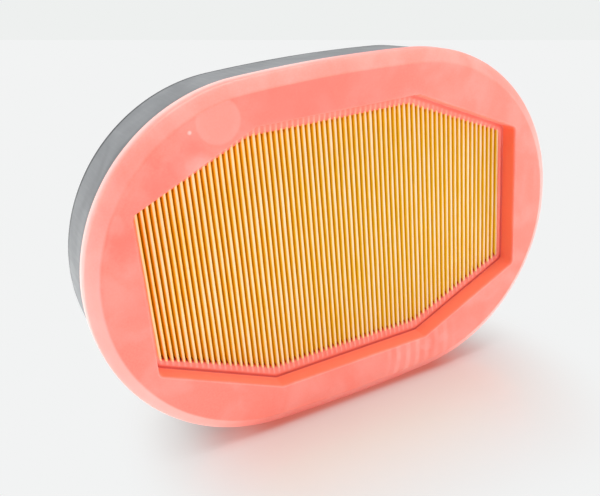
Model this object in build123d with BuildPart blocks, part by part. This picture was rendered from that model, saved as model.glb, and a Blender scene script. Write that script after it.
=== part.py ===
from build123d import *

import os
from math import atan2, degrees

# Oval panel air filter, standing on its long flank. Sizes are in millimetres.
# X runs along the filter, Z is up and the front face looks along -Y.
# The origin is on the ground, under the middle of the filter.
# A depth is always measured from the front face towards the back, along +Y.

# Driving dimensions of the oval and of the soft seal frame at its front
overall_length = 298.0
overall_height = 205.0
overall_depth = 55.0
flank_radius = 896.0
frame_depth = 15.0
bevel_width = 7.5
bevel_depth = 5.2
outer_edge_radius = 2.0
rear_edge_radius = 1.0

# The octagonal well in the face, and the thin lip of foam that frames the paper at its foot
well_depth = 10.6
well_draft = 0.7
well_corner_radius = 3.0
well_edge_radius = 0.8
lip_thickness = 0.6

# The folded paper
pleat_count = 72
pleat_pitch = 3.26
paper_thickness = 0.6
pack_length = (pleat_count - 0.5) * pleat_pitch + paper_thickness

# Octagons: length, height, length of the level edges, height of the upright ends
well_octagon = (240.0, 153.2, 100.0, 90.0)
window_octagon = (pack_length, 139.6, 100.8, 82.8)
pack_octagon = (pack_length, 146.0, 102.0, 88.4)

# The rigid shell behind the seal frame
shell_wall = 2.0
shell_step = 1.0
shell_draft = 1.6
shell_grip = 3.0
shell_rear_edge_radius = 1.5
collar_wall = 1.8
collar_depth = 9.0
rib_width = 2.6
rib_columns = 3
rib_column_spacing = 56.0
rib_rows = 2
rib_row_spacing = 48.0

# The strips, potting and beads that seal and space the paper
strip_thickness = 0.8
potting_gap = 2.0
potting_depth = 6.0
bead_radius = 1.0
bead_rows = 3
bead_row_spacing = 48.0
bead_clearance = 0.2

# Depths that follow from the sizes above
shell_front = frame_depth - shell_grip
shell_floor = overall_depth - shell_wall
collar_front = shell_floor - collar_depth
pack_front = well_depth + lip_thickness
pack_rear = shell_floor - bead_radius - bead_clearance
pack_depth = pack_rear - pack_front


def section_plane(depth):
    """Plane across the filter at a depth. Its normal points to the back."""
    origin = (0, depth - overall_depth / 2, overall_height / 2)
    return Plane(origin=origin, x_dir=(-1, 0, 0), z_dir=(0, 1, 0))


def oval(depth, inset=0.0):
    """Oval of two end arcs and two flank arcs, tangent where they meet, drawn in by inset."""
    half_length = overall_length / 2
    half_height = overall_height / 2
    squares = half_length**2 + half_height**2 - 2 * flank_radius * half_height
    end_radius = squares / (2 * (half_length - flank_radius))
    end_centre = half_length - end_radius
    flank_centre = flank_radius - half_height
    end_turn = degrees(atan2(flank_centre, end_centre))
    flank_turn = 180 - 2 * end_turn
    with BuildSketch(section_plane(depth)) as outline:
        with BuildLine():
            CenterArc((end_centre, 0), end_radius - inset, -end_turn, 2 * end_turn)
            CenterArc((0, -flank_centre), flank_radius - inset, end_turn, flank_turn)
            CenterArc((-end_centre, 0), end_radius - inset, 180 - end_turn, 2 * end_turn)
            CenterArc((0, flank_centre), flank_radius - inset, 180 + end_turn, flank_turn)
        make_face()
    return outline.sketch


def octagon_corners(octagon):
    """Corners of an octagon with level long edges, upright ends and slanting corners."""
    length, height, level_edge, end_height = octagon
    quarter = [(length / 2, end_height / 2), (level_edge / 2, height / 2)]
    upper = quarter + [(-x, y) for x, y in reversed(quarter)]
    return upper + [(-x, -y) for x, y in upper]


def octagon_outline(depth, octagon, inset=0.0, corner_radius=0.0):
    """Octagon across the filter, drawn in by inset, or out where inset is negative."""
    with BuildSketch(section_plane(depth)) as outline:
        Polygon(*octagon_corners(octagon), align=None)
        if inset:
            offset(amount=-inset, kind=Kind.INTERSECTION)
        if corner_radius:
            fillet(outline.vertices(), radius=corner_radius)
    return outline.sketch


def octagon_half_length(octagon, height):
    """Half the octagon's length at a height above its middle."""
    length, full_height, level_edge, end_height = octagon
    if height <= end_height / 2:
        return length / 2
    climb = (height - end_height / 2) / (full_height / 2 - end_height / 2)
    return length / 2 - climb * (length - level_edge) / 2


def shell_inset(depth):
    """How far the shell's outside lies in from the seal frame's edge: it narrows to the back."""
    share = (depth - frame_depth) / (overall_depth - frame_depth)
    return shell_step + share * shell_draft


# Filter paper: one sheet folded into upright pleats, cut to an octagon
fold_radius = pleat_pitch / 4
flank_spacing = pleat_pitch / 2
first_flank = -(pleat_count - 0.5) * pleat_pitch / 2
front_folds = pack_front + fold_radius + paper_thickness / 2 - overall_depth / 2
rear_folds = pack_rear - fold_radius - paper_thickness / 2 - overall_depth / 2
pack_bottom = (overall_height - pack_octagon[1]) / 2

with BuildPart() as pleated_media:
    with BuildSketch(Plane.XY.offset(pack_bottom)):
        with BuildLine():
            for side in (1, -1):
                half_sheet = side * paper_thickness / 2
                for flank in range(2 * pleat_count):
                    across = half_sheet if flank % 2 else -half_sheet
                    x = first_flank + flank * flank_spacing + across
                    Line((x, front_folds), (x, rear_folds))
                for fold in range(pleat_count):
                    x = first_flank + (2 * fold + 0.5) * flank_spacing
                    CenterArc((x, front_folds), fold_radius + half_sheet, 180, 180)
                for fold in range(pleat_count - 1):
                    x = first_flank + (2 * fold + 1.5) * flank_spacing
                    CenterArc((x, rear_folds), fold_radius - half_sheet, 0, 180)
            for x in (first_flank, -first_flank):
                Line((x - paper_thickness / 2, rear_folds), (x + paper_thickness / 2, rear_folds))
        make_face()
    extrude(amount=pack_octagon[1])
    extrude(octagon_outline(pack_front, pack_octagon), amount=pack_depth, mode=Mode.INTERSECT)

# Nonwoven strips that close the cut ends of the pleats: over the top three sides, and under
# the bottom three. The upright ends need none, because the last flank of paper closes them.
middle_plane = Plane.XY.offset(overall_height / 2)

with BuildPart() as upper_side_strip:
    extrude(octagon_outline(pack_front, pack_octagon, -strip_thickness), amount=pack_depth)
    extrude(octagon_outline(pack_front, pack_octagon), amount=pack_depth, mode=Mode.SUBTRACT)
    with BuildSketch(section_plane(pack_front)):
        Rectangle(overall_length, pack_octagon[3])
    extrude(amount=pack_depth, mode=Mode.SUBTRACT)
    split(bisect_by=middle_plane, keep=Keep.TOP)

with BuildPart() as lower_side_strip:
    mirror(upper_side_strip.part, about=middle_plane)

# Hot-melt beads along the rear folds, which hold the pleats apart
with BuildPart() as spacer_beads:
    for row in range(bead_rows):
        above_middle = (row - (bead_rows - 1) / 2) * bead_row_spacing
        highest = abs(above_middle) + bead_radius
        half_length = octagon_half_length(window_octagon, highest) - bead_clearance
        start = (-half_length, pack_rear - overall_depth / 2, overall_height / 2 + above_middle)
        with BuildSketch(Plane(origin=start, x_dir=(0, 1, 0), z_dir=(1, 0, 0))):
            Circle(bead_radius)
            front_half = (Align.MAX, Align.CENTER)
            Rectangle(bead_radius, 2 * bead_radius, align=front_half, mode=Mode.SUBTRACT)
        extrude(amount=2 * half_length)

# Rigid shell: a drafted oval band with a rear face, a collar round the pack and ribs
# that hold the pack against the flow of air
with BuildPart() as outer_shell:
    front_inset = shell_inset(shell_front)
    rear_inset = shell_inset(overall_depth)
    floor_inset = shell_inset(shell_floor)
    loft([oval(shell_front, front_inset), oval(overall_depth, rear_inset)], ruled=True)
    fillet(outer_shell.faces().sort_by(Axis.Y)[-1].edges(), radius=shell_rear_edge_radius)
    hollow_front = oval(shell_front, front_inset + shell_wall)
    hollow_rear = oval(shell_floor, floor_inset + shell_wall)
    loft([hollow_front, hollow_rear], ruled=True, mode=Mode.SUBTRACT)
    collar_outside = octagon_outline(collar_front, pack_octagon, -(potting_gap + collar_wall))
    extrude(collar_outside, amount=collar_depth)
    collar_inside = octagon_outline(collar_front, pack_octagon, -potting_gap)
    extrude(collar_inside, amount=collar_depth, mode=Mode.SUBTRACT)
    window = octagon_outline(shell_floor, window_octagon, corner_radius=well_corner_radius)
    extrude(window, amount=shell_wall, mode=Mode.SUBTRACT)
    with BuildSketch(section_plane(shell_floor)):
        with GridLocations(rib_column_spacing, 0, rib_columns, 1):
            Rectangle(rib_width, window_octagon[1])
        with GridLocations(0, rib_row_spacing, 1, rib_rows):
            Rectangle(window_octagon[0], rib_width)
        Polygon(*octagon_corners(window_octagon), align=None, mode=Mode.INTERSECT)
    extrude(amount=shell_wall)

# Bead that beds the rear edge of the pack in the shell's collar
with BuildPart() as rear_potting_bead:
    potting_front = pack_rear - potting_depth
    potting_outside = octagon_outline(potting_front, pack_octagon, -potting_gap)
    extrude(potting_outside, amount=shell_floor - potting_front)
    pack_space = octagon_outline(potting_front, pack_octagon)
    extrude(pack_space, amount=potting_depth, mode=Mode.SUBTRACT)
    add(upper_side_strip.part, mode=Mode.SUBTRACT)
    add(lower_side_strip.part, mode=Mode.SUBTRACT)
    rear_window = octagon_outline(pack_rear, window_octagon, corner_radius=well_corner_radius)
    extrude(rear_window, amount=shell_floor - pack_rear, mode=Mode.SUBTRACT)

# Seal frame: one pour of soft foam round the shell's front edge and the front of the pack
with BuildPart() as seal_frame:
    loft([oval(0, bevel_width), oval(bevel_depth)], ruled=True)
    extrude(oval(bevel_depth), amount=frame_depth - bevel_depth)
    bevel_level = bevel_depth - overall_depth / 2
    bevel_foot = seal_frame.edges().filter_by_position(Axis.Y, bevel_level, bevel_level)
    fillet(bevel_foot, radius=outer_edge_radius)
    fillet(seal_frame.faces().sort_by(Axis.Y)[-1].edges(), radius=rear_edge_radius)
    well_mouth = octagon_outline(0, well_octagon, 0, well_corner_radius)
    well_foot = octagon_outline(well_depth, well_octagon, well_draft, well_corner_radius)
    loft([well_mouth, well_foot], ruled=True, mode=Mode.SUBTRACT)
    face_edge_of_well = seal_frame.faces().sort_by(Axis.Y)[0].inner_wires()[0].edges()
    fillet(face_edge_of_well, radius=well_edge_radius)
    lip_window = octagon_outline(well_depth, window_octagon, corner_radius=well_corner_radius)
    extrude(lip_window, amount=lip_thickness, mode=Mode.SUBTRACT)
    extrude(octagon_outline(pack_front, pack_octagon), amount=pack_depth, mode=Mode.SUBTRACT)
    add(upper_side_strip.part, mode=Mode.SUBTRACT)
    add(lower_side_strip.part, mode=Mode.SUBTRACT)
    add(outer_shell.part, mode=Mode.SUBTRACT)

nodes = {
    "seal_frame": seal_frame,
    "outer_shell": outer_shell,
    "pleated_media": pleated_media,
    "upper_side_strip": upper_side_strip,
    "lower_side_strip": lower_side_strip,
    "rear_potting_bead": rear_potting_bead,
    "spacer_beads": spacer_beads,
}

os.makedirs("parts", exist_ok=True)
for name, builder in nodes.items():
    builder.part.label = name
    export_step(builder.part, f"parts/{name}.step")
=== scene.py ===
"""Looks of an oval panel air filter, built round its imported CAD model.

The filter stands on its long flank. X runs along it, Z is up and its front face looks along -Y.
Shapes are worked out in millimetres, as (across, above, depth): across along X, above the filter's
middle along Z, and depth from the front face towards the back along +Y. place() turns them into
metres in the shared frame.
"""

import math

import bpy
import numpy as np
from mathutils import Matrix, Vector, noise
from mathutils.geometry import tessellate_polygon


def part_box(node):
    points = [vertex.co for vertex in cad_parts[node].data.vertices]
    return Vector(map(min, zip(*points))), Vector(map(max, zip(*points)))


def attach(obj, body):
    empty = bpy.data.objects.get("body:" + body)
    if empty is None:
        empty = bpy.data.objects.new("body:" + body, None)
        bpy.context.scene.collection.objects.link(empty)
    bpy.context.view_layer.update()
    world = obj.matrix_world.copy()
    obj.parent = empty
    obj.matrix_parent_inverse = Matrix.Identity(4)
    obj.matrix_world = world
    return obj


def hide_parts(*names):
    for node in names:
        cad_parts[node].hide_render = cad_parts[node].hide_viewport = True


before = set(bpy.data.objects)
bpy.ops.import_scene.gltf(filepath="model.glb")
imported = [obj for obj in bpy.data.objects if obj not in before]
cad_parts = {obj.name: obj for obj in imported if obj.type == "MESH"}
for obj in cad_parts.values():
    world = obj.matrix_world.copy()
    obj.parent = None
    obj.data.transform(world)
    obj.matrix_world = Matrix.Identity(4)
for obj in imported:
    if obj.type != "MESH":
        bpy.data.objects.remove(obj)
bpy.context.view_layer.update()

MM = 0.001

# ------------------------------------------------------------------ sizes, from the frame
foam_low, foam_high = (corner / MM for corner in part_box("seal_frame"))
shell_low, shell_high = (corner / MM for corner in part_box("outer_shell"))
pack_low, pack_high = (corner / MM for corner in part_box("pleated_media"))
beads_low, beads_high = (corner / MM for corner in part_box("spacer_beads"))

length = foam_high.x - foam_low.x
height = foam_high.z - foam_low.z
middle = (foam_low.z + foam_high.z) / 2
face = foam_low.y
frame_depth = foam_high.y - face
overall_depth = shell_high.y - face
shell_front = shell_low.y - face
pack_front = pack_low.y - face
pack_rear = pack_high.y - face
pack_length = pack_high.x - pack_low.x
pack_height = pack_high.z - pack_low.z
potting_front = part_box("rear_potting_bead")[0].y / MM - face
bead_rear = beads_high.y - face
bead_span = beads_high.z - beads_low.z

# Sizes the frame's boxes don't hold
flank_radius = 896.0
bevel_width = 7.5
bevel_depth = 5.2
outer_edge_radius = 2.0
face_edge_radius = 2.2
rear_edge_radius = 1.0
flat_start = 1.2
well_draft = 0.7
well_corner_radius = 3.8
well_edge_radius = 0.8
lip_thickness = 0.6
well_depth = pack_front - lip_thickness
pleat_count = 72
cad_paper_thickness = 0.6
paper_thickness = 0.5
pleat_pitch = (pack_length - cad_paper_thickness) / (pleat_count - 0.5)
shell_wall = 2.0
shell_step = 1.0
shell_draft = 1.6
shell_rear_edge_radius = 1.5
shell_floor = overall_depth - shell_wall
potting_gap = 2.0
collar_wall = 1.8
collar_depth = 9.0
rib_width = 2.6
rib_columns = (-56.0, 0.0, 56.0)
rib_rows = (-24.0, 24.0)
pin_radius = 3.0
pin_turns = (0, 38, 68, 112, 142, 180, 218, 248, 292, 322)
bead_rows = 3
bead_radius = 1.0

# Octagons: length, height, length of the level edges, height of the upright ends
well_octagon = (240.0, 153.2, 100.0, 90.0)
window_octagon = (pack_length, 139.6, 100.8, 82.8)
pack_octagon = (pack_length, pack_height, 102.0, 88.4)


# ------------------------------------------------------------------ plane shapes
def place(points):
    """Rows of (across, above, depth) in millimetres as rows of frame coordinates in metres."""
    points = np.asarray(points, float)
    across, above, depth = points[..., 0], points[..., 1], points[..., 2]
    return np.stack([across, face + depth, middle + above], axis=-1) * MM


def circle_distance(angles, centre_x, centre_z, radius):
    """How far out, along each direction from the middle, a circle's far side lies."""
    along = np.cos(angles) * centre_x + np.sin(angles) * centre_z
    return along + np.sqrt(along**2 - centre_x**2 - centre_z**2 + radius**2)


def oval_distance(angles, inset):
    """How far out, along each direction from the middle, the oval drawn in by inset lies."""
    half_length, half_height = length / 2, height / 2
    squares = half_length**2 + half_height**2 - 2 * flank_radius * half_height
    end_radius = squares / (2 * (half_length - flank_radius))
    end_centre = half_length - end_radius
    flank_centre = flank_radius - half_height
    turn = math.atan2(flank_centre, end_centre)
    join_x = end_centre + (end_radius - inset) * math.cos(turn)
    join_z = (end_radius - inset) * math.sin(turn)
    folded = np.arctan2(np.abs(np.sin(angles)), np.abs(np.cos(angles)))
    end = circle_distance(folded, end_centre, 0.0, end_radius - inset)
    flank = circle_distance(folded, 0.0, -flank_centre, flank_radius - inset)
    return np.where(folded < math.atan2(join_z, join_x), end, flank)


def octagon_corners(octagon, inset=0.0):
    """Corners of an octagon drawn in by inset, anticlockwise from the upper right end."""
    full_length, full_height, level_edge, end_height = octagon
    slant_x = (full_height - end_height) / 2
    slant_z = (full_length - level_edge) / 2
    slant = math.hypot(slant_x, slant_z)
    reach = (full_length * slant_x + end_height * slant_z) / 2 / slant - inset
    x, z = full_length / 2 - inset, full_height / 2 - inset
    end_z = (reach * slant - x * slant_x) / slant_z
    level_x = (reach * slant - z * slant_z) / slant_x
    quarter = [(x, end_z), (level_x, z)]
    upper = quarter + [(-a, b) for a, b in reversed(quarter)]
    return upper + [(-a, -b) for a, b in upper]


def outward_normals(corners):
    """The outward unit normal of each edge of an anticlockwise polygon."""
    edges = np.roll(corners, -1, axis=0) - corners
    return np.stack([edges[:, 1], -edges[:, 0]], axis=-1) / np.linalg.norm(edges, axis=1)[:, None]


def corner_arc(corner, before, after, radius):
    """Centre and half the turn of the arc that rounds a corner between two edge normals."""
    half_turn = math.acos(np.clip(before @ after, -1, 1)) / 2
    bisector = (before + after) / np.linalg.norm(before + after)
    return corner - bisector * radius / math.cos(half_turn), half_turn


def polygon_distance(angles, corners, corner_radius=0.0):
    """How far out, along each direction from the middle, a convex polygon's rounded edge lies."""
    corners = np.array(corners)
    distance = np.full(len(angles), np.inf)
    directions = np.stack([np.cos(angles), np.sin(angles)], axis=-1)
    normals = outward_normals(corners)
    for corner, normal in zip(corners, normals):
        facing = directions @ normal
        reach = corner @ normal
        with np.errstate(divide="ignore"):
            hit = np.where(facing > 1e-9, reach / facing, np.inf)
        distance = np.minimum(distance, hit)
    if corner_radius:
        for here, corner in enumerate(corners):
            before, after = normals[here - 1], normals[here]
            centre, _ = corner_arc(corner, before, after, corner_radius)
            first, last = centre + before * corner_radius, centre + after * corner_radius
            start = math.atan2(first[1], first[0])
            sweep = (math.atan2(last[1], last[0]) - start) % (2 * math.pi)
            inside = (angles - start) % (2 * math.pi) < sweep
            distance[inside] = circle_distance(angles[inside], *centre, corner_radius)
    return distance


def octagon_distance(angles, octagon, inset=0.0, corner_radius=0.0):
    """How far out, along each direction, an octagon drawn in by inset lies."""
    return polygon_distance(angles, octagon_corners(octagon, inset), corner_radius)


def half_height_at(across, octagon):
    """Half an octagon's height at each place along the filter."""
    full_length, full_height, level_edge, end_height = octagon
    rise = (full_height - end_height) / (full_length - level_edge)
    slanted = end_height / 2 + (full_length / 2 - np.abs(across)) * rise
    return np.minimum(full_height / 2, slanted)


def rounded_path(corners, arc_steps=5):
    """A section through (inset, depth, radius, steps) corners: arcs at corners, steps between them."""
    path = []
    last = len(corners) - 1
    ends = []
    for at, (x, d, radius, _) in enumerate(corners):
        here = np.array([x, d], float)
        if at in (0, last) or radius == 0:
            ends.append((here, here, [here]))
            continue
        back = np.array(corners[at - 1][:2], float) - here
        ahead = np.array(corners[at + 1][:2], float) - here
        back /= np.linalg.norm(back)
        ahead /= np.linalg.norm(ahead)
        half = math.acos(np.clip(back @ ahead, -1, 1)) / 2
        tangent = radius / math.tan(half)
        centre = here + (back + ahead) / np.linalg.norm(back + ahead) * radius / math.sin(half)
        first, final = here + back * tangent, here + ahead * tangent
        start = math.atan2(*(first - centre)[::-1])
        turn = math.atan2(*(final - centre)[::-1]) - start
        turn = (turn + math.pi) % (2 * math.pi) - math.pi
        arc = []
        for step in range(arc_steps + 1):
            angle = start + turn * step / arc_steps
            arc.append(centre + radius * np.array([math.cos(angle), math.sin(angle)]))
        ends.append((first, final, arc))
    for at, (_, final, arc) in enumerate(ends):
        path.extend(arc)
        if at < last:
            ahead = ends[at + 1][0]
            steps = corners[at][3]
            for step in range(1, steps):
                path.append(final + (ahead - final) * step / steps)
    return np.array(path)


# ------------------------------------------------------------------ mesh making
def grid_faces(rows, columns, close_rows=False, close_columns=False, start=0):
    """Quads of a grid of points stored row by row, with either direction closed on itself."""
    row = np.arange(rows if close_rows else rows - 1)
    column = np.arange(columns if close_columns else columns - 1)
    row, column = np.meshgrid(row, column, indexing="ij")
    below, right = (row + 1) % rows, (column + 1) % columns
    corners = [row * columns + column, row * columns + right]
    corners += [below * columns + right, below * columns + column]
    return start + np.stack(corners, axis=-1).reshape(-1, 4)


def new_object(name, data):
    """A new object in the scene that shows the given data."""
    item = bpy.data.objects.new(name, data)
    bpy.context.scene.collection.objects.link(item)
    return item


def add_piece(name, points, faces, material, flat_faces=(), attributes=None):
    """A mesh object from frame points, with its faces turned outwards and smooth-shaded."""
    mesh = bpy.data.meshes.new(name)
    faces = [list(face_corners) for face_corners in faces]
    mesh.from_pydata(points.reshape(-1, 3).tolist(), [], faces + [list(f) for f in flat_faces])
    mesh.update()
    mesh.polygons.foreach_set("use_smooth", [True] * len(faces) + [False] * len(flat_faces))
    for key, values in (attributes or {}).items():
        layer = mesh.attributes.new(key, "FLOAT", "POINT")
        layer.data.foreach_set("value", np.asarray(values, np.float32).ravel())
    mesh.materials.append(material)
    turn_outwards(mesh)
    return new_object(name, mesh)


def turn_outwards(mesh):
    """Flips every face of a closed mesh whose faces all look inwards."""
    mesh.calc_loop_triangles()
    corners = np.empty(len(mesh.loop_triangles) * 3, np.int32)
    mesh.loop_triangles.foreach_get("vertices", corners)
    points = np.empty(len(mesh.vertices) * 3)
    mesh.vertices.foreach_get("co", points)
    a, b, c = (points.reshape(-1, 3)[corners.reshape(-1, 3)[:, k]] for k in range(3))
    if np.einsum("ij,ij->i", a, np.cross(b, c)).sum() < 0:
        mesh.flip_normals()


def smoothstep(values, low, high):
    """0 below low, 1 above high and an even curve between, for a number or an array."""
    share = np.clip((values - low) / (high - low), 0, 1)
    return share * share * (3 - 2 * share)


def noise_at(points, wavelength, octaves=2):
    """Smooth seedless noise, about -1 to 1, at rows of points in millimetres."""
    flat = np.asarray(points, float).reshape(-1, np.shape(points)[-1]) / wavelength
    if flat.shape[1] == 2:
        flat = np.column_stack([flat, np.full(len(flat), 0.37)])
    values = [noise.fractal(point, 1.0, 2.0, octaves) for point in flat.tolist()]
    return np.array(values).reshape(np.shape(points)[:-1])


# ------------------------------------------------------------------ materials
def new_material(name):
    """A node material: itself, its tree, its Principled shader and frame coordinates in millimetres."""
    material = bpy.data.materials.new(name)
    material.use_nodes = True
    tree = material.node_tree
    return material, tree, tree.nodes["Principled BSDF"], coordinates(tree)


def plug(tree, socket, value):
    """Gives a socket a plain value or links another node's output to it."""
    if isinstance(value, bpy.types.NodeSocket):
        tree.links.new(value, socket)
    else:
        socket.default_value = value


def settle(tree, shader, **values):
    """Gives a shader's inputs their values; an input's name is written with underscores."""
    for name, value in values.items():
        plug(tree, shader.inputs[name.replace("_", " ")], value)


def add_node(tree, kind, inputs, output=0, **settings):
    """Adds a node with its settings, feeds its inputs by name or number and returns one output."""
    node = tree.nodes.new("ShaderNode" + kind)
    for name, value in settings.items():
        setattr(node, name, value)
    for key, value in inputs.items():
        plug(tree, node.inputs[key], value)
    return node.outputs[output]


def coordinates(tree, stretch=(1.0, 1.0, 1.0)):
    """Frame coordinates in millimetres, stretched along each axis."""
    texture = add_node(tree, "TexCoord", {}, "Object")
    return add_node(tree, "Mapping", {"Vector": texture, "Scale": [1 / MM / axis for axis in stretch]})


def part_of(tree, vector, axis):
    """One coordinate of a vector."""
    return add_node(tree, "SeparateXYZ", {0: vector}, axis)


def depth_of(tree, place_mm):
    """How far behind the front face a place lies."""
    return maths(tree, "SUBTRACT", part_of(tree, place_mm, "Y"), face)


def cloud(tree, vector, size, detail=2.0, roughness=0.5, distortion=0.0):
    """Noise from 0 to 1 whose features are about size millimetres."""
    inputs = {"Vector": vector, "Scale": 1 / size, "Detail": detail}
    inputs.update({"Roughness": roughness, "Distortion": distortion})
    return add_node(tree, "TexNoise", inputs, "Fac")


def cells(tree, vector, size):
    """Distance, in cell sizes, to the nearest of scattered points about size millimetres apart."""
    return add_node(tree, "TexVoronoi", {"Vector": vector, "Scale": 1 / size}, "Distance")


def spread(tree, value, from_low, from_high, to_low=0.0, to_high=1.0, smooth=True):
    """A value mapped from one range to another and held at its ends."""
    inputs = dict(enumerate((value, from_low, from_high, to_low, to_high)))
    kind = "SMOOTHSTEP" if smooth else "LINEAR"
    return add_node(tree, "MapRange", inputs, "Result", interpolation_type=kind)


def maths(tree, operation, first, second=0.0):
    """One step of arithmetic."""
    return add_node(tree, "Math", {0: first, 1: second}, operation=operation)


def times(tree, first, *others):
    """The product of several values."""
    for other in others:
        first = maths(tree, "MULTIPLY", first, other)
    return first


def mix(tree, share, first, second, blend="MIX"):
    """A colour between two colours."""
    inputs = {"Factor": share, 6: first, 7: second}
    return add_node(tree, "Mix", inputs, 2, data_type="RGBA", blend_type=blend)


def attribute(tree, name):
    """A value stored on the mesh's points."""
    return add_node(tree, "Attribute", {}, "Fac", attribute_name=name)


def colour(red, green, blue):
    """A screen colour from 0 to 255 as the linear colour that nodes take."""
    linear = []
    for value in (red, green, blue):
        share = value / 255
        linear.append(share / 12.92 if share <= 0.04045 else ((share + 0.055) / 1.055) ** 2.4)
    return (*linear, 1.0)


def bump(tree, shader, heights, distance):
    """Adds fine relief, distance in millimetres, to a shader."""
    inputs = {"Strength": 1.0, "Distance": distance * MM, "Height": heights}
    plug(tree, shader.inputs["Normal"], add_node(tree, "Bump", inputs, "Normal"))


def ramp(tree, share, stops):
    """A colour ramp with (position, colour) stops."""
    node = tree.nodes.new("ShaderNodeValToRGB")
    elements = node.color_ramp.elements
    while len(elements) < len(stops):
        elements.new(0.5)
    for element, (position, stop_colour) in zip(elements, stops):
        element.position = position
        element.color = stop_colour
    plug(tree, node.inputs["Fac"], share)
    return node.outputs["Color"]


# Marks the mould has left on the front face, as across and above the middle, in millimetres
plug_mark = (-70.0, 83.2)
plug_mark_radius = 11.8
vent_speck = (-85.4, 80.3)

# Places on the front face where the foam's skin is deeper in colour: centre, radius and strength. Most are
# stains; the two broad ones over the top are painted shade, where less sheen falls.
face_stains_and_shade = [((-85.0, 72.5), 11.0, 0.6), ((-93.0, 66.5), 11.0, 0.4), ((-105.0, 58.0), 15.0, 0.6)]
face_stains_and_shade += [((-126.5, 31.0), 14.0, 0.6), ((-119.0, 46.0), 12.0, 0.35), ((-120.0, -2.0), 16.0, 0.3)]
face_stains_and_shade += [((-22.0, 92.0), 62.0, 0.6), ((30.0, 90.0), 40.0, 0.3), ((57.0, -82.0), 9.0, 0.3)]
# Paler spots in the same form
face_spots = [((-87.0, 64.0), 9.0, 0.35), ((-128.0, 43.0), 7.0, 0.2), ((-79.0, 63.0), 8.0, 0.3)]
face_spots += [((62.0, -80.0), 7.0, 0.3), ((51.0, -84.0), 6.0, 0.3)]

# Flow lines that the pour has left on the lower land, as where they start, end and lie
flow_lines = (21.0, 74.0, -81.0)
flow_line_pitch = 7.2
flow_line_bow = 22.0


def hypotenuse(tree, first, second):
    """The root of the sum of two squares."""
    squares = times(tree, first, first), times(tree, second, second)
    return maths(tree, "SQRT", maths(tree, "ADD", *squares))


def away_from(tree, across, above, centre):
    """Distance, along the front face, from a point of it."""
    from_x = maths(tree, "SUBTRACT", across, centre[0])
    return hypotenuse(tree, from_x, maths(tree, "SUBTRACT", above, centre[1]))


def flow_line_share(tree, across, above, patchy):
    """How strongly the flow lines show: bowed lines that fade along the land and towards the well."""
    first, last, row = flow_lines
    reach = away_from(tree, across, above, (first - flow_line_bow, row))
    wave = maths(tree, "SINE", times(tree, reach, 2 * math.pi / flow_line_pitch))
    lines = times(tree, spread(tree, wave, -0.6, 1.0, 0.0, 0.42), spread(tree, patchy, 0.35, 0.6, 0.5, 1.0))
    starting = spread(tree, across, first - 3.0, first + 5.0)
    weaker = spread(tree, across, first + 20.0, first + 34.0, 1.0, 0.5)
    ending = spread(tree, across, last - 8.0, last + 3.0, 1.0, 0.0)
    return times(tree, lines, starting, weaker, ending, spread(tree, above, row + 8.0, row + 14.0, 1.0, 0.0))


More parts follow.
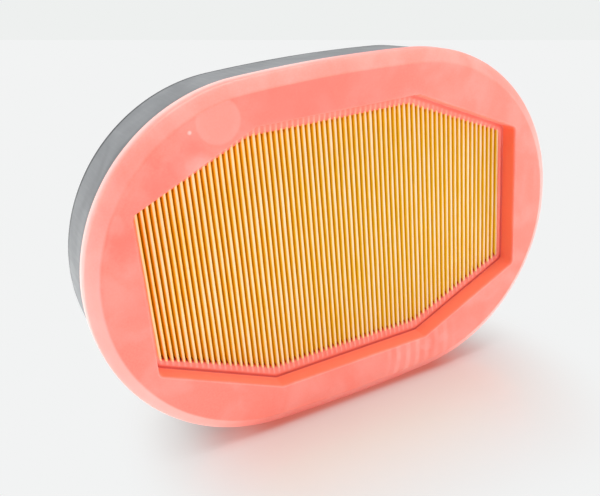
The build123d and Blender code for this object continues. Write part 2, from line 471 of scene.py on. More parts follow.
def foam_material():
    """Soft moulded foam with a satin skin: mottled salmon pink, deeper in the well as painted shade and
    bounced light, with painted highlights on the rim and mouth and painted shadows in the well's foot.
    """
    material, tree, shader, place_mm = new_material("salmon_foam")
    depth = depth_of(tree, place_mm)
    across = part_of(tree, place_mm, "X")
    above = maths(tree, "SUBTRACT", part_of(tree, place_mm, "Z"), middle)
    broad = cloud(tree, place_mm, 26.0, detail=3.0, distortion=0.6)
    patchy = cloud(tree, place_mm, 8.0, detail=3.0, roughness=0.6)
    fine = cloud(tree, place_mm, 1.1, detail=3.0, roughness=0.6)
    skin = mix(tree, spread(tree, broad, 0.38, 0.66), colour(252, 124, 107), colour(252, 139, 125))
    skin = mix(tree, spread(tree, patchy, 0.5, 0.75, 0.0, 0.3), skin, colour(249, 120, 105))
    skin = mix(tree, spread(tree, fine, 0.3, 0.7, 0.0, 0.12), skin, colour(255, 172, 160))
    # The rim value paints highlight and sheen on the foam's side and bevel
    skin = mix(tree, attribute(tree, "rim"), skin, colour(255, 214, 208))
    on_face = spread(tree, depth, 0.05, 0.4, 1.0, 0.0)
    ragged = spread(tree, patchy, 0.3, 0.7, -4.0, 4.0, False)
    # Stains and painted shade over the top of the face, then paler spots
    for marks, shade in ((face_stains_and_shade, colour(249, 108, 92)), (face_spots, colour(255, 172, 162))):
        for centre, radius, strength in marks:
            away = maths(tree, "ADD", away_from(tree, across, above, centre), ragged)
            mark = spread(tree, away, radius * 0.1, radius, strength, 0.0)
            skin = mix(tree, times(tree, mark, on_face), skin, shade)
    skin = mix(tree, times(tree, flow_line_share(tree, across, above, patchy), on_face), skin,
               colour(255, 180, 169))
    reach = away_from(tree, across, above, plug_mark)
    in_mark = spread(tree, reach, plug_mark_radius - 0.9, plug_mark_radius + 0.9, 0.36, 0.0)
    skin = mix(tree, times(tree, in_mark, on_face), skin, colour(253, 170, 158))
    speck = spread(tree, away_from(tree, across, above, vent_speck), 0.3, 1.5, 0.6, 0.0)
    skin = mix(tree, times(tree, speck, on_face), skin, colour(255, 214, 206))
    # Painted shade and bounced light in the well: deeper orange, less so on the lower walls that face the
    # light
    well_shade_tone = mix(tree, spread(tree, above, -60.0, -20.0), colour(253, 124, 95), colour(252, 111, 79))
    # Painted highlight, the well's painted shade, paper seen through the thin film, painted contact shadow
    # and painted shade at the valley ends
    for name, shade in (("brim", colour(255, 176, 164)), ("wall", well_shade_tone),
                        ("film", colour(253, 205, 168)), ("crease", colour(200, 60, 50)),
                        ("dip", colour(212, 56, 34))):
        skin = mix(tree, attribute(tree, name), skin, shade)
    settle(tree, shader, Base_Color=skin, Roughness=spread(tree, patchy, 0.3, 0.7, 0.42, 0.54))
    settle(tree, shader, Sheen_Weight=0.35, Sheen_Roughness=0.35, Subsurface_Weight=0.12)
    settle(tree, shader, Subsurface_Radius=(1.0, 0.35, 0.22), Subsurface_Scale=2.5 * MM)
    pores = spread(tree, cells(tree, place_mm, 2.6), 0.02, 0.09, 0.0, 1.0)
    orange_peel = maths(tree, "ADD", maths(tree, "MULTIPLY", fine, 0.5), patchy)
    bump(tree, shader, maths(tree, "ADD", orange_peel, maths(tree, "MULTIPLY", pores, 0.6)), 0.05)
    return material


def shell_material():
    """Satin grey moulded plastic with faint draw streaks along its draft, and painted shade by the foam and
    along the rear edge.
    """
    material, tree, shader, place_mm = new_material("grey_shell_plastic")
    streaks = cloud(tree, coordinates(tree, (3.0, 60.0, 3.0)), 1.0, detail=3.0, roughness=0.6)
    broad = cloud(tree, place_mm, 34.0, detail=2.0, distortion=0.5)
    grain = cloud(tree, place_mm, 0.35, detail=2.0)
    tone = mix(tree, spread(tree, broad, 0.35, 0.65), colour(124, 126, 128), colour(136, 138, 140))
    tone = mix(tree, spread(tree, streaks, 0.5, 0.8, 0.0, 0.45), tone, colour(150, 152, 154))
    depth = depth_of(tree, place_mm)
    # Painted shade on the shell next to the foam, at the left end
    at_end = spread(tree, part_of(tree, place_mm, "X"), -95.0, -60.0, 1.0, 0.1)
    by_foam = spread(tree, depth, frame_depth, frame_depth + 9.0, 0.6, 0.0)
    tone = mix(tree, times(tree, at_end, by_foam), tone, colour(92, 94, 96))
    # A painted dark line of shade along the rounding of the shell's rear edge
    rear_edge = spread(tree, depth, overall_depth - 4.6, overall_depth - 3.0, 0.0, 0.8)
    on_rear = spread(tree, depth, overall_depth - 0.12, overall_depth - 0.02, 1.0, 0.0)
    tone = mix(tree, times(tree, rear_edge, on_rear), tone, colour(62, 64, 67))
    settle(tree, shader, Base_Color=tone, Roughness=spread(tree, streaks, 0.3, 0.7, 0.44, 0.56))
    settle(tree, shader, Specular_IOR_Level=0.3)
    relief = maths(tree, "ADD", maths(tree, "MULTIPLY", grain, 0.5), streaks)
    bump(tree, shader, relief, 0.02)
    return material


def paper_material():
    """Resin-treated filter paper: pale along its folds as a painted highlight, amber down its flanks."""
    material, tree, shader, place_mm = new_material("amber_filter_paper")
    depth = depth_of(tree, place_mm)
    from_front = maths(tree, "SUBTRACT", depth, pack_front)
    from_rear = maths(tree, "SUBTRACT", pack_rear, depth)
    from_fold = maths(tree, "MINIMUM", from_front, from_rear)
    wander = cloud(tree, coordinates(tree, (4.0, 1.5, 14.0)), 1.0, detail=3.0)
    from_fold = maths(tree, "ADD", from_fold, spread(tree, wander, 0.3, 0.7, -0.05, 0.05, False))
    share = spread(tree, from_fold, 0.0, 8.0, smooth=False)
    # The pale stops along the folds are a painted highlight
    pale = [(0.0, colour(249, 226, 187)), (0.02, colour(249, 219, 167)), (0.038, colour(248, 200, 96))]
    gold = [(0.06, colour(242, 194, 34)), (0.12, colour(241, 191, 8)), (1.0, colour(241, 179, 4))]
    amber = [(0.06, colour(248, 191, 34)), (0.12, colour(254, 186, 8)), (1.0, colour(255, 174, 4))]
    to_left = spread(tree, part_of(tree, place_mm, "X"), -110.0, 40.0, 1.0, 0.0)
    tone = mix(tree, to_left, ramp(tree, share, pale + gold), ramp(tree, share, pale + amber))
    fibre = cloud(tree, coordinates(tree, (0.5, 0.5, 2.4)), 1.0, detail=4.0, roughness=0.65)
    blotch = cloud(tree, place_mm, 6.0, detail=3.0)
    tone = mix(tree, spread(tree, fibre, 0.45, 0.75, 0.0, 0.12), tone, colour(226, 150, 62), "MULTIPLY")
    tone = mix(tree, spread(tree, blotch, 0.5, 0.8, 0.0, 0.1), tone, colour(255, 214, 132))
    # Painted shade deep in the valleys where they meet the foam, stronger lower down
    in_valley = spread(tree, from_front, 0.5, 1.0)
    at_hem = spread(tree, attribute(tree, "hem"), 1.3, 2.6, 1.0, 0.0)
    lower = spread(tree, part_of(tree, place_mm, "Z"), middle - 20.0, middle + 20.0, 1.0, 0.3)
    tone = mix(tree, times(tree, in_valley, at_hem, lower), tone, colour(214, 58, 22))
    settle(tree, shader, Base_Color=tone, Roughness=0.9, Specular_IOR_Level=0.1)
    bump(tree, shader, fibre, 0.06)
    return material


def potting_material():
    """The same foam as the frame, cut and smeared where it beds the pack's rear edge."""
    material, tree, shader, place_mm = new_material("potting_foam")
    patchy = cloud(tree, place_mm, 5.0, detail=3.0, roughness=0.6)
    open_cells = cells(tree, place_mm, 0.9)
    tone = mix(tree, spread(tree, patchy, 0.35, 0.7), colour(246, 138, 124), colour(236, 120, 104))
    tone = mix(tree, spread(tree, open_cells, 0.1, 0.5, 0.3, 0.0), tone, colour(214, 92, 78))
    settle(tree, shader, Base_Color=tone, Roughness=0.6)
    bump(tree, shader, open_cells, 0.08)
    return material


def fleece_material():
    """White nonwoven strip: matted fibres pressed flat, with a weak bond pattern."""
    material, tree, shader, place_mm = new_material("nonwoven_fleece")
    fibres = cloud(tree, coordinates(tree, (3.0, 0.35, 0.35)), 1.0, detail=5.0, roughness=0.7)
    bonds = cells(tree, place_mm, 1.6)
    tone = mix(tree, spread(tree, fibres, 0.35, 0.65), colour(226, 224, 216), colour(244, 243, 238))
    settle(tree, shader, Base_Color=tone, Roughness=0.95, Sheen_Weight=0.3)
    bump(tree, shader, maths(tree, "ADD", fibres, spread(tree, bonds, 0.1, 0.4, 0.0, 0.6)), 0.1)
    return material


def glue_material():
    """Hot-melt glue: milky, amber where it is thick, and glossy."""
    material, tree, shader, place_mm = new_material("hot_melt_glue")
    clouds = cloud(tree, place_mm, 2.4, detail=2.0)
    tone = mix(tree, spread(tree, clouds, 0.35, 0.7), colour(243, 228, 186), colour(236, 208, 140))
    settle(tree, shader, Base_Color=tone, Roughness=spread(tree, clouds, 0.3, 0.7, 0.22, 0.34))
    settle(tree, shader, Subsurface_Weight=0.3, Subsurface_Radius=(1.0, 0.7, 0.35))
    settle(tree, shader, Subsurface_Scale=1.0 * MM)
    bump(tree, shader, clouds, 0.03)
    return material


foam = foam_material()
shell_plastic = shell_material()
paper = paper_material()
potting = potting_material()
fleece = fleece_material()
glue = glue_material()


# ------------------------------------------------------------------ directions shared by the rings
samples_per_pleat = 8
samples_per_end = 48


def ring_angles():
    """Directions from the middle: in step with the pleats above and below, even along the ends."""
    window_half = window_octagon[0] / 2
    first = -(pleat_count * pleat_pitch) / 2 + pleat_pitch / samples_per_pleat
    steps = np.arange(pleat_count * samples_per_pleat - 1)
    across = first + steps * pleat_pitch / samples_per_pleat
    across = across[np.abs(across) < window_half]
    above = half_height_at(across, window_octagon)
    end_height = window_octagon[3]
    ends = (np.arange(samples_per_end) + 0.5) / samples_per_end * end_height - end_height / 2
    upper = np.arctan2(above, across)[::-1]
    left = np.arctan2(ends[::-1], np.full(samples_per_end, -window_half))
    lower = np.arctan2(-above, across)
    right = np.arctan2(ends, np.full(samples_per_end, window_half))
    return np.concatenate([upper, left, lower, right])


angles = ring_angles()
directions = np.stack([np.cos(angles), np.sin(angles)], axis=-1)
around = len(angles)


def ring(distance, depth):
    """Points at a distance out along each direction, and at a depth."""
    flat = directions * np.asarray(distance)[:, None]
    return np.column_stack([flat, np.broadcast_to(depth, around)])


def shell_inset(depth):
    """How far the shell's outside lies in from the seal frame's edge: it narrows to the back."""
    share = (depth - frame_depth) / (overall_depth - frame_depth)
    return shell_step + share * shell_draft


# ------------------------------------------------------------------ folded paper
def pleat_profile(arc_steps=8, flank_steps=5):
    """One side view of the sheet: centre-line points, their normals, and the fold each belongs to."""
    fold_radius = pleat_pitch / 4
    half_count = (pleat_count - 0.5) / 2
    first_flank = -half_count * pleat_pitch
    front = pack_front + fold_radius + cad_paper_thickness / 2
    rear = pack_rear - fold_radius - cad_paper_thickness / 2
    points, normals = [], []

    def fold(centre, depth, arc_from, arc_to):
        for step in range(arc_steps + 1):
            turn = math.radians(arc_from + (arc_to - arc_from) * step / arc_steps)
            normal = np.array([math.cos(turn), -math.sin(turn)])
            points.append(np.array([centre, depth]) + fold_radius * normal)
            normals.append(normal)

    def flank(across, start, end, normal):
        for step in range(1, flank_steps):
            points.append(np.array([across, start + (end - start) * step / flank_steps]))
            normals.append(np.array([normal, 0.0]))

    points.append(np.array([first_flank, rear]))
    normals.append(np.array([-1.0, 0.0]))
    for pleat in range(pleat_count):
        left = first_flank + pleat * pleat_pitch
        right = left + pleat_pitch / 2
        flank(left, rear, front, -1.0)
        fold((left + right) / 2, front, 180, 0)
        flank(right, front, rear, 1.0)
        if pleat < pleat_count - 1:
            start = len(points)
            fold(right + pleat_pitch / 4, rear, 180, 360)
            for at in range(start, len(normals)):
                normals[at] = -normals[at]
    points.append(np.array([first_flank + (2 * pleat_count - 1) * pleat_pitch / 2, rear]))
    normals.append(np.array([1.0, 0.0]))
    return np.array(points), np.array(normals)


def pleated_sheet():
    """The paper as one thin folded sheet, cut to the pack's octagon, its folds never quite even."""
    points, normals = pleat_profile()
    rows = 30
    half_heights = half_height_at(points[:, 0], pack_octagon)
    share = np.linspace(-1, 1, rows)
    above = half_heights[None, :] * share[:, None]
    across = np.broadcast_to(points[:, 0], above.shape)
    depth = np.broadcast_to(points[:, 1], above.shape)
    to_rear = (depth - pack_front) / (pack_rear - pack_front)
    wander = []
    for layer, wavelength in ((0.0, 44.0), (50.0, 44.0), (90.0, 30.0)):
        pleats = np.round(across / pleat_pitch) * 3.7 + layer
        wander.append(noise_at(np.stack([pleats * 44.0, above * 44.0 / wavelength], axis=-1), 44.0))
    sway_front, sway_rear, rise = wander
    sway = 0.16 * sway_front * (1 - to_rear) + 0.3 * sway_rear * to_rear
    lift = 0.12 * rise * np.clip(1 - to_rear * 6, 0, 1)
    sides = []
    for side in (paper_thickness / 2, -paper_thickness / 2):
        x = across + sway + side * normals[:, 0]
        d = depth + lift + side * normals[:, 1]
        sides.append(np.stack([x, above, d], axis=-1))
    loop = np.concatenate([sides[0], sides[1][:, ::-1]], axis=1)
    columns = loop.shape[1]
    hem = half_height_at(loop[..., 0], window_octagon) - np.abs(loop[..., 1])
    faces = grid_faces(rows, columns, close_columns=True).tolist()
    caps = []
    half = columns // 2
    for row in (0, rows - 1):
        base = row * columns
        for at in range(half - 1):
            far = columns - 1 - at
            cap = [base + at, base + at + 1, base + far - 1, base + far]
            caps.append(cap if row else cap[::-1])
    return add_piece("pleated_paper", place(loop), faces, paper, caps, {"hem": hem})


# ------------------------------------------------------------------ seal frame
def face_relief(across, above):
    """How far the front face stands proud, in millimetres: swells, mould marks and flow lines."""
    spots = np.stack([across, above], axis=-1)
    relief = 0.16 * noise_at(spots, 34.0) + 0.05 * noise_at(spots + 90.0, 11.0)
    from_plug = np.hypot(across - plug_mark[0], above - plug_mark[1])
    relief += 0.1 * smoothstep(-from_plug, -plug_mark_radius - 0.6, -plug_mark_radius + 0.6)
    from_speck = np.hypot(across - vent_speck[0], above - vent_speck[1])
    relief += 0.5 * np.exp(-(from_speck / 0.8) ** 2)
    ripple = np.sin((across - 42.0) * 2 * math.pi / 6.2 + 0.06 * above)
    reach = np.exp(-((across - 42.0) / 17.0) ** 2) * np.exp(-((above + 90.0) / 7.0) ** 2)
    relief += 0.15 * ripple * reach
    return relief


def end_share(across):
    """1 along the pack's ends, where no folds cross the edge, and 0 elsewhere."""
    return smoothstep(np.abs(across), pack_length / 2 - 1.5, pack_length / 2 - 0.2)


def crest_share(distance):
    """1 over a front fold and -1 over a valley, at a distance out along each direction; 0 at the ends."""
    across = distance * np.cos(angles)
    return -np.cos(2 * math.pi * (across / pleat_pitch)) * (1 - end_share(across))


def film_edge():
    """Where the foam has crept over the folds: how far each direction's edge lies in or out."""
    window = octagon_distance(angles, window_octagon, corner_radius=well_corner_radius)
    edge = directions * window[:, None]
    return window, crest_share(window), noise_at(edge, 5.0), end_share(edge[:, 0])


class ShadedRings:
    """Rings of points round the filter, each with how strongly the foam's tints, painted shades and painted
    highlights show there.
    """

    def __init__(self):
        self.rings = []
        self.shades = {key: [] for key in ("wall", "film", "crease", "brim", "dip", "rim")}

    def add(self, distance, depth, **shown):
        """Adds a ring at a distance out along each direction, and at a depth."""
        self.rings.append(ring(distance, depth))
        for key, values in self.shades.items():
            values.append(np.broadcast_to(shown.get(key, 0.0), around))


def add_rim(foam_rings):
    """The foam's side and bevel, with painted highlights: paler at the back of the left side and on the left
    of the bevel.
    """
    rim = [(rear_edge_radius, frame_depth, 0, 1), (0.0, frame_depth, rear_edge_radius - 0.02, 5)]
    rim += [(0.0, bevel_depth, outer_edge_radius, 8), (bevel_width, 0.0, face_edge_radius, 1)]
    rim += [(bevel_width + flat_start, 0.0, 0, 1)]
    flash = 0.05 * noise_at(directions * 60.0, 9.0)
    # Painted sheen on the bevel, strongest on the left, and a painted highlight at the back of the left side
    bevel_sheen = 0.09 + 0.28 * smoothstep(directions @ np.array([-0.97, -0.24]), 0.72, 1.0)
    side_highlight = 0.65 * smoothstep(np.sin(angles), -0.8, -0.1) * smoothstep(-np.cos(angles), -0.5, 0.3)
    for inset, depth in rounded_path(rim, arc_steps=4):
        swell = flash * smoothstep(depth, 0.2, 2.0)
        to_back = smoothstep(depth, bevel_depth + 0.8, frame_depth - 2.5)
        # A faint painted highlight along the outer edge's rounding
        at_edge = math.exp(-((depth - bevel_depth) / 1.6) ** 2)
        on_bevel = bevel_sheen * smoothstep(depth, 0.05, 0.9)
        on_bevel = on_bevel * smoothstep(-depth, -bevel_depth - 4.0, -bevel_depth)
        pale = on_bevel + 0.06 * at_edge + to_back * side_highlight
        foam_rings.add(oval_distance(angles, inset) + swell, depth, rim=pale)


def add_land(foam_rings, land_rings=27):
    """The flat front land between the bevel and the well, with its slight relief."""
    outer = oval_distance(angles, bevel_width + flat_start)
    mouth = octagon_distance(angles, well_octagon, -well_edge_radius, well_corner_radius)
    for step in range(1, land_rings + 1):
        share = step / land_rings
        distance = outer + (mouth - outer) * share
        flat = directions * distance[:, None]
        fade = smoothstep(share, 0, 0.06) * smoothstep(-share, -1, -0.95)
        foam_rings.add(distance, -face_relief(flat[:, 0], flat[:, 1]) * fade)


def add_well(foam_rings):
    """The well's rounded mouth and its wall."""
    well = [(-well_edge_radius, 0.0, 0, 1), (0.0, 0.0, well_edge_radius * 0.9, 6)]
    well += [(well_draft, well_depth - 0.3, 0, 1)]
    below = 0.4 * smoothstep(np.sin(angles), 0.3, 0.6) + smoothstep(-np.sin(angles), -0.2, 0.3)
    for inset, depth in rounded_path(well, arc_steps=4)[1:]:
        distance = octagon_distance(angles, well_octagon, inset, well_corner_radius)
        # Painted highlight along the lower mouth's rounded edge
        brim = smoothstep(-depth, -0.5, -0.1) * 0.22 * below
        # The wall value paints the well's shade on its wall
        foam_rings.add(distance, depth, wall=smoothstep(depth, 0.4, 2.2), brim=brim)


def add_ledge(foam_rings, ledge_rings=9):
    """The creased foot of the well and the ledge over the folds, ridged in step with them."""
    window, crest, creep, along_ends = film_edge()
    over_folds = 1 - along_ends
    shaded = 0.3 + 0.7 * smoothstep(-np.sin(angles), -0.5, 0.1)
    # Painted contact shadow along the wall's foot, which also takes the well's painted shade (the wall
    # value)
    for inset, depth, crease in ((0.0, 0.0, 0.6), (0.3, 0.15, 0.9), (0.9, 0.15, 0.6), (1.5, 0.0, 0.2)):
        foot = octagon_distance(angles, well_octagon, well_draft + inset, well_corner_radius)
        foam_rings.add(foot, well_depth + depth, wall=0.5 * shaded, crease=crease * shaded)
    crept = 0.7 * smoothstep(-np.sin(angles), 0.1, 0.5) * over_folds
    edge = window - crept + (0.12 * crest - 0.25 * creep) * over_folds
    sink = (0.45 + 0.3 * (1 - crest) / 2 + 0.12 * creep) * over_folds + 0.1 * along_ends
    for step in range(1, ledge_rings + 1):
        share = step / ledge_rings
        distance = foot + (edge - foot) * share
        level = well_depth + (lip_thickness + sink) * smoothstep(share, 0.0, 1.1)
        crest = crest_share(distance)
        ridge = 0.34 * np.clip(crest, 0, 1) * over_folds * smoothstep(share, 0.0, 0.7)
        over_crest = np.clip(crest, 0, 1) ** 2 * over_folds
        film = over_crest * (0.08 + 0.36 * smoothstep(share, 0.1, 0.95)) * (1.0 - 0.6 * shaded)
        # Painted shade at the valley ends along the ledge's inner edge
        dip = smoothstep(-crest, -0.2, 0.5) * smoothstep(share, 0.7, 1.0) * over_folds * shaded
        # Painted shade between the folds on the ledge, in the well's shade colour
        under = 0.45 * (1 - smoothstep(crest, -0.4, 0.6)) * over_folds * (1 - dip)
        # Painted highlight on the ridges over the folds, lower down
        ridged = 0.5 * over_crest * shaded * smoothstep(share, 0.1, 0.3)
        foam_rings.add(distance, level - ridge, wall=under, film=film, dip=dip, brim=ridged)
    end_level = well_depth + (lip_thickness + sink)
    # The ledge's inner edge takes the well's painted shade and the painted shade at the valley ends
    foam_rings.add(edge - 0.25, end_level + 0.35, wall=0.8, dip=dip)
    foam_rings.add(edge - 0.3, frame_depth, wall=1.0, dip=dip)


def seal_frame():
    """One pour of foam: bevelled oval rim, flat face, octagonal well and a ledge over the folds."""
    foam_rings = ShadedRings()
    for add_part in (add_rim, add_land, add_well, add_ledge):
        add_part(foam_rings)
    foam_rings.add(oval_distance(angles, shell_inset(frame_depth) + shell_wall), frame_depth)
    for inset in (shell_inset(shell_front) + shell_wall, shell_inset(shell_front)):
        foam_rings.add(oval_distance(angles, inset), shell_front)
    faces = grid_faces(len(foam_rings.rings), around, close_rows=True, close_columns=True)
    layers = {key: np.stack(values) for key, values in foam_rings.shades.items()}
    return add_piece("foam_seal_frame", place(np.stack(foam_rings.rings)), faces, foam, attributes=layers)


# ------------------------------------------------------------------ shell
def clip_polygon(corners, normal, reach):
    """The part of a convex polygon that lies within reach along a normal."""
    kept = []
    for here, corner in enumerate(corners):
        after = corners[(here + 1) % len(corners)]
        inside = corner @ normal - reach
        ahead = after @ normal - reach
        if inside <= 0:
            kept.append(corner)
        if inside * ahead < 0:
            kept.append(corner + (after - corner) * inside / (inside - ahead))
    return kept


def rounded_polygon(corners, outset, corner_radius, arc_steps=5):
    """A convex anticlockwise polygon moved outwards by outset, with its corners rounded."""
    corners = np.array(corners)
    normals = outward_normals(corners)
    points = []
    for here, corner in enumerate(corners):
        before = normals[here - 1]
        centre, half_turn = corner_arc(corner, before, normals[here], corner_radius)
        start = math.atan2(before[1], before[0])
        for step in range(arc_steps + 1):
            turn = start + 2 * half_turn * step / arc_steps
            points.append(centre + (corner_radius + outset) * np.array([math.cos(turn), math.sin(turn)]))
    return np.array(points)


def window_cells():
    """The openings that the ribs leave in the shell's rear window, as convex polygons."""
    corners = np.array(octagon_corners(window_octagon))
    normals = outward_normals(corners)
    far = window_octagon[0]
    sides = (-rib_width / 2, rib_width / 2)
    columns = [-far] + [rib + side for rib in rib_columns for side in sides] + [far]
    rows = [-far] + [rib + side for rib in rib_rows for side in sides] + [far]
    found = []
    for left, right in zip(columns[::2], columns[1::2]):
        for low, high in zip(rows[::2], rows[1::2]):
            cell = [np.array(p, float) for p in ((left, low), (right, low), (right, high), (left, high))]
            for corner, normal in zip(corners, normals):
                cell = clip_polygon(cell, normal, corner @ normal)
            found.append(cell)
    return found


class Solid:
    """Points and faces of one closed piece, gathered loop by loop."""

    def __init__(self):
        self.points, self.faces, self.flats, self.count = [], [], [], 0

    def loop(self, flat, depth):
        """Adds a closed loop of points at a depth and returns their numbers."""
        flat = np.asarray(flat)
        self.points.append(np.column_stack([flat, np.full(len(flat), depth)]))
        self.count += len(flat)
        return list(range(self.count - len(flat), self.count))

    def band(self, first, second):
        """Joins two loops of the same number of points with quads."""
        for at in range(len(first)):
            ahead = (at + 1) % len(first)
            self.faces.append([first[at], first[ahead], second[ahead], second[at]])

    def bands(self, loops):
        """Joins each loop to the next."""
        for first, second in zip(loops, loops[1:]):
            self.band(first, second)

    def sheet(self, loops, up):
        """Fills the plane between an outer loop and holes, looking to the back if up is true."""
        every = np.concatenate(self.points)
        polylines = [[Vector((*every[at][:2], 0.0)) for at in loop] for loop in loops]
        numbers = [at for loop in loops for at in loop]
        for triangle in tessellate_polygon(polylines):
            corners = [numbers[at] for at in triangle]
            a, b, c = (every[at][:2] for at in corners)
            turn = (b[0] - a[0]) * (c[1] - a[1]) - (b[1] - a[1]) * (c[0] - a[0])
            looks_back = turn < 0
            self.flats.append(corners if looks_back == up else corners[::-1])


def rear_shell():
    """The rigid shell: a drafted band, a ribbed rear face and a collar round the pack."""
    solid = Solid()
    edge_round = 0.5
    support = 0.35

    band_path = [(shell_inset(shell_front), shell_front, 0, 2)]
    band_path += [(shell_inset(frame_depth), frame_depth, 0, 8)]
    band_path += [(shell_inset(overall_depth), overall_depth, shell_rear_edge_radius, 1)]
    band_path += [(shell_inset(overall_depth) + shell_rear_edge_radius + 1.4, overall_depth, 0, 1)]
    outside = []
    for inset, depth in rounded_path(band_path, arc_steps=7):
        outside.append(solid.loop(directions * oval_distance(angles, inset)[:, None], depth))
    inside = []
    for depth in (shell_front, shell_floor):
        distance = oval_distance(angles, shell_inset(depth) + shell_wall)
        inside.append(solid.loop(directions * distance[:, None], depth))
    solid.band(inside[0], outside[0])
    solid.bands(outside)
    solid.band(inside[1], inside[0])

    rear_holes, floor_holes = [], []
    for cell in window_cells():
        loops = []
        path = [(edge_round + support, overall_depth, 0, 1), (0.0, overall_depth, edge_round, 2)]
        path += [(0.0, shell_floor, edge_round, 1), (edge_round + support, shell_floor, 0, 1)]
        for outset, depth in rounded_path(path, arc_steps=4):
            loops.append(solid.loop(rounded_polygon(cell, outset, 1.6), depth))
        solid.bands(loops)
        rear_holes.append(loops[0])
        floor_holes.append(loops[-1])

    for centre in pin_marks():
        loops = []
        for share, depth in ((1.12, 0.0), (1.0, 0.0), (0.97, 0.08), (0.93, 0.16), (0.8, 0.16)):
            circle = circle_points(centre, pin_radius * share)
            loops.append(solid.loop(circle, overall_depth - depth))
        solid.bands(loops)
        solid.flats.append(loops[-1][::-1])
        rear_holes.append(loops[0])
    solid.sheet([outside[-1]] + rear_holes, up=True)

    collar = []
    outside_of_collar = (potting_gap + collar_wall, 2.0)
    inside_of_collar = (potting_gap, 1.0)
    for side, depths in ((outside_of_collar, (0.0, collar_depth)), (inside_of_collar, (collar_depth, 0.0))):
        outline = rounded_polygon(octagon_corners(pack_octagon, -side[0]), 0.0, side[1])
        collar += [solid.loop(outline, shell_floor - forward) for forward in depths]
    solid.bands(collar)
    solid.sheet([inside[1], collar[0]], up=False)
    solid.sheet([collar[-1]] + floor_holes, up=False)
    points = place(np.concatenate(solid.points))
    return add_piece("grey_rear_shell", points, solid.faces, shell_plastic, solid.flats)


def pin_marks():
    """Centres of the round marks that ejector pins leave on the rear face."""
    marks = []
    for turn in pin_turns:
        angle = np.array([math.radians(turn)])
        outer = oval_distance(angle, shell_inset(overall_depth))[0]
        inner = octagon_distance(angle, window_octagon)[0]
        reach = (outer + inner) / 2
        marks.append((reach * math.cos(angle[0]), reach * math.sin(angle[0])))
    return marks


def circle_points(centre, radius, steps=28):
    """Points of a circle."""
    turns = 2 * math.pi * np.arange(steps) / steps
    return np.column_stack([centre[0] + radius * np.cos(turns), centre[1] + radius * np.sin(turns)])


# ------------------------------------------------------------------ rear potting and glue beads
def rear_potting():
    """The foam bead that beds the pack's rear edge: it creeps a little over the rear folds."""
    window, crest, creep, along_ends = film_edge()
    outer = octagon_distance(angles, pack_octagon, -potting_gap, 1.0)
    edge = window + 0.35 * crest + 0.4 * creep * (1 - along_ends)
    rings = [ring(outer, shell_floor), ring(outer, potting_front), ring(edge, potting_front)]
    swell = ((0.0, -0.9), (-0.15, -0.5 + 0.25 * crest), (0.3, 0.1 + 0.15 * creep), (1.0, 0.55), (1.7, 0.95))
    rings += [ring(edge + outset, pack_rear + rise) for outset, rise in swell]
    rings.append(ring(edge + 2.1, shell_floor))
    faces = grid_faces(len(rings), around, close_rows=True, close_columns=True)
    return add_piece("rear_potting_foam", place(np.stack(rings)), faces, potting)


def glue_beads():
    """Ropes of glue across the rear folds, fuller on each fold and sagging between them."""
    points, faces, caps = [], [], []
    start = 0
    sides = 12
    step_length = pleat_pitch / 8
    for row in range(bead_rows):
        above = (row - (bead_rows - 1) / 2) * (bead_span - 2 * bead_radius) / (bead_rows - 1)
        half = bead_half_length(abs(above) + bead_radius)
        steps = int(2 * half / step_length)
        across = np.linspace(-half, half, steps + 1)
        lump = noise_at(np.column_stack([across, np.full(len(across), above * 3.1)]), 6.0)
        wave = np.cos(2 * math.pi * across / pleat_pitch)
        taper = np.sqrt(np.clip(1 - ((np.abs(across) - half + 1.2) / 1.2).clip(0) ** 2, 0.02, 1))
        radius = bead_radius * (0.78 + 0.1 * wave + 0.16 * lump) * taper
        sag = 0.12 * (1 - wave) / 2
        for x, size, drop, drift in zip(across, radius, sag, lump):
            for side in range(sides):
                turn = 2 * math.pi * side / sides
                up = above + 0.25 * drift + size * math.cos(turn)
                out = min(pack_rear - 0.1 - drop + size * math.sin(turn), bead_rear)
                points.append((x, up, out))
        count = len(across)
        faces += grid_faces(count, sides, close_columns=True, start=start).tolist()
        caps.append(list(range(start, start + sides))[::-1])
        caps.append(list(range(start + (count - 1) * sides, start + count * sides)))
        start += count * sides
    return add_piece("glue_ropes", place(points), faces + caps, glue)


def bead_half_length(highest):
    """Half the length a bead has at a height from the middle, inside the window."""
    full_length, full_height, level_edge, end_height = window_octagon
    if highest <= end_height / 2:
        return full_length / 2 - 0.2
    climb = (highest - end_height / 2) / (full_height / 2 - end_height / 2)
    return full_length / 2 - climb * (full_length - level_edge) / 2 - 0.2


# ------------------------------------------------------------------ the object
def stand_for(piece, node):
    """A piece that stands for a CAD node: it joins the root body and the node is hidden."""
    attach(piece, "root")
    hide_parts(node)


stand_for(seal_frame(), "seal_frame")
stand_for(rear_shell(), "outer_shell")
stand_for(pleated_sheet(), "pleated_media")
stand_for(rear_potting(), "rear_potting_bead")
stand_for(glue_beads(), "spacer_beads")
for strip in ("upper_side_strip", "lower_side_strip"):
    strip_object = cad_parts[strip]
    strip_object.data.materials.clear()
    strip_object.data.materials.append(fleece)


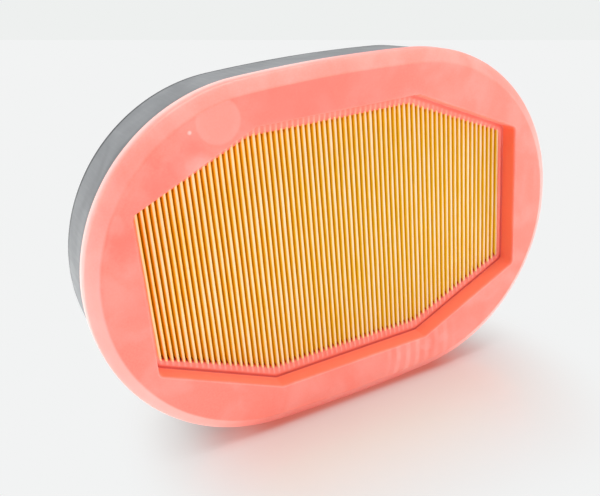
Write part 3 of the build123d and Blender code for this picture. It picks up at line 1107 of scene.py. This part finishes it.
# ------------------------------------------------------------------ floor, light and camera
def floor_material():
    """Glossy white table top, lit from within away from the filter so that it stays evenly pale, with
    painted pink bounced light near the filter and a painted pink shadow beneath it.
    """
    material, tree, shader, place_mm = new_material("white_table")
    across, along = part_of(tree, place_mm, "X"), part_of(tree, place_mm, "Y")
    sideways = maths(tree, "ABSOLUTE", across)
    past_end = maths(tree, "MAXIMUM", maths(tree, "SUBTRACT", sideways, 59.0), 0.0)
    reach = hypotenuse(tree, times(tree, past_end, 1.5), maths(tree, "ADD", along, 30.0))
    # Painted pink shadow and reflection in a band beneath the filter's front
    beneath = times(tree, spread(tree, maths(tree, "ABSOLUTE", along), 23.0, 36.0, 1.0, 0.0),
                    spread(tree, sideways, 53.0, 110.0, 1.0, 0.0))
    far = spread(tree, reach, 10.0, 120.0, 0.25, 1.0)
    far = maths(tree, "MAXIMUM", far, times(tree, beneath, 0.8))
    faint = cloud(tree, place_mm, 400.0, detail=2.0)
    tone = mix(tree, spread(tree, faint, 0.3, 0.7), colour(218, 218, 219), colour(220, 220, 221))
    # Painted pink bounced light on the table near the filter
    bounced = spread(tree, reach, 0.0, 140.0, 1.0, 0.0)
    tone = mix(tree, bounced, tone, colour(212, 200, 196))
    settle(tree, shader, Base_Color=tone, Roughness=0.22, Specular_IOR_Level=0.9)
    shine = mix(tree, bounced, colour(242, 243, 243), colour(224, 211, 206))
    shine = mix(tree, beneath, shine, colour(208, 106, 92))
    # The table glows, and it lights the filter more strongly than it shows to the camera
    seen = add_node(tree, "LightPath", {}, "Is Camera Ray")
    glow = add_node(tree, "Emission", {"Color": shine, "Strength": spread(tree, seen, 0.0, 1.0, 1.8, 1.0)})
    near_glow = spread(tree, reach, 4.0, 50.0, 0.4, 1.0)
    share = spread(tree, seen, 0.0, 1.0, near_glow, far)
    either = add_node(tree, "MixShader", {0: share, 1: shader.outputs[0], 2: glow})
    plug(tree, tree.nodes["Material Output"].inputs["Surface"], either)
    return material


def add_floor():
    """A wide level table top whose far edge runs level across the camera's view."""
    reach, far_edge = 3.5, 1.383
    turn = math.radians(29.9)
    away = np.array([math.cos(turn), math.sin(turn), 0.0])
    along = np.array([-math.sin(turn), math.cos(turn), 0.0])
    corners = ((-reach, -reach), (far_edge, -reach), (far_edge, reach), (-reach, reach))
    points = np.array([away * out + along * side for out, side in corners])
    mesh = bpy.data.meshes.new("table_top")
    mesh.from_pydata(points.tolist(), [], [(0, 1, 2, 3)])
    mesh.materials.append(floor_material())
    new_object("table_top", mesh)


def towards(azimuth, elevation):
    """Unit vector from the filter out along an azimuth and elevation in degrees."""
    turn, climb = math.radians(azimuth), math.radians(elevation)
    return Vector((math.sin(turn) * math.cos(climb), -math.cos(turn) * math.cos(climb), math.sin(climb)))


def add_softbox(name, azimuth, elevation, distance, size, power):
    """A square area light aimed at the filter; a low one isn't mirrored in the table top."""
    light = bpy.data.lights.new(name, "AREA")
    light.shape = "SQUARE"
    light.size = size
    light.energy = power
    back = towards(azimuth, elevation)
    lamp = new_object(name, light)
    lamp.location = Vector((0, 0, middle * MM)) + back * distance
    lamp.rotation_mode = "QUATERNION"
    lamp.rotation_quaternion = (-back).to_track_quat("-Z", "Y")
    lamp.visible_glossy = elevation > 10


def add_lights():
    """A white room and large soft lights, strongest from above."""
    world = bpy.data.worlds.new("white_room")
    world.use_nodes = True
    tree = world.node_tree
    # The room is dark behind the filter's upper left, so that this side isn't washed out
    dark_side = Vector((-0.8, 0.32, 0.51)).normalized()
    looking = add_node(tree, "TexCoord", {}, "Generated")
    to_dark = add_node(tree, "VectorMath", {0: looking, 1: dark_side}, "Value", operation="DOT_PRODUCT")
    lighting = tree.nodes["Background"]
    settle(tree, lighting, Color=(0.96, 0.98, 1.0, 1.0))
    settle(tree, lighting, Strength=spread(tree, to_dark, 0.2, 0.85, 0.51, 0.02))
    backdrop = add_node(tree, "Background", {"Color": colour(238, 240, 239)})
    seen = add_node(tree, "LightPath", {}, "Is Camera Ray")
    either = add_node(tree, "MixShader", {0: seen, 1: lighting.outputs[0], 2: backdrop})
    plug(tree, tree.nodes["World Output"].inputs["Surface"], either)
    bpy.context.scene.world = world
    add_softbox("top_softbox", -60, 86, 1.3, 0.9, 18.0)
    add_softbox("left_softbox", -105, 2, 1.3, 1.0, 10.0)
    add_softbox("back_left_softbox", -140, 4, 1.3, 1.2, 5.0)
    add_softbox("right_softbox", 50, 18, 0.9, 0.6, 2.2)


def add_camera():
    """The camera, placed by its view of a point on the front face."""
    azimuth, elevation, roll, distance = -25.57, 22.3, 5.13, 0.4251
    across, above = -31.8, 5.7
    target = Vector((across * MM, face * MM, (middle + above) * MM))
    back = towards(azimuth, elevation)
    camera_data = bpy.data.cameras.new("photo_view")
    camera_data.lens = 46.55
    camera_data.sensor_width = 36.0
    camera_data.clip_start = 0.01
    camera = new_object("photo_view", camera_data)
    level = (-back).to_track_quat("-Z", "Y").to_matrix().to_4x4()
    tilt = Matrix.Rotation(-math.radians(roll), 4, "Z")
    camera.matrix_world = Matrix.Translation(target + back * distance) @ level @ tilt
    bpy.context.scene.camera = camera


add_floor()
add_lights()
add_camera()
bpy.context.scene.view_settings.view_transform = "Standard"
